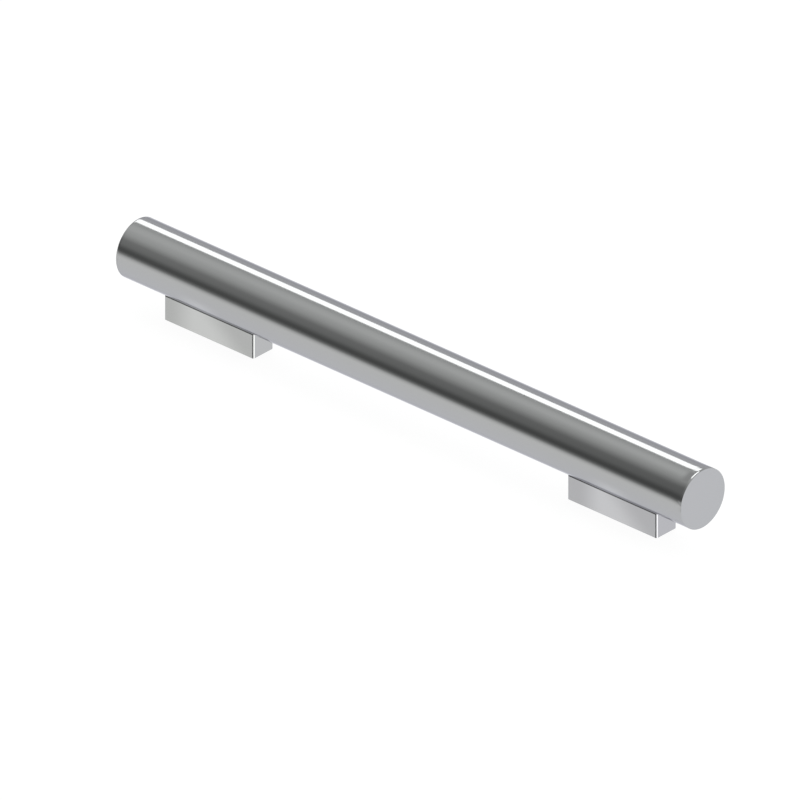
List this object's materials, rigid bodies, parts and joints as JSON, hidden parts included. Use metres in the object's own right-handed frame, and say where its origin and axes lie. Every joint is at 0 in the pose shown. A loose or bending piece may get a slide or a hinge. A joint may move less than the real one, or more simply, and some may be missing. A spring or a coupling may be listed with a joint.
{
  "type": "bar pull handle",
  "caption": "Round polished steel bar pull, closed by end caps and carried a finger's height off the door on low rectangular posts.",
  "frame": {"origin": "on the mounting plane, midway between the two posts, below the middle of the bar", "axes": "+X along the bar, +Y across it, +Z away from the door"},
  "size_m": [0.445, 0.038, 0.0529],
  "materials": {
    "bar_steel": "bright satin, drawn lengthways",
    "cap_steel": "turned and polished",
    "post_steel": "bright satin",
    "plated_nut": "zinc plated",
    "screw_steel": "dark oiled",
    "washer_steel": "spring temper"
  },
  "bodies": {
    "root": {"bar_tube": "bar_steel", "left_end_cap": "cap_steel", "right_end_cap": "cap_steel", "left_post": "post_steel", "right_post": "post_steel", "left_saddle_nut": "plated_nut", "right_saddle_nut": "plated_nut", "left_outer_screw": "screw_steel", "left_inner_screw": "screw_steel", "right_inner_screw": "screw_steel", "right_outer_screw": "screw_steel", "left_outer_washer": "washer_steel", "left_inner_washer": "washer_steel", "right_inner_washer": "washer_steel", "right_outer_washer": "washer_steel"}
  },
  "joints": []
}
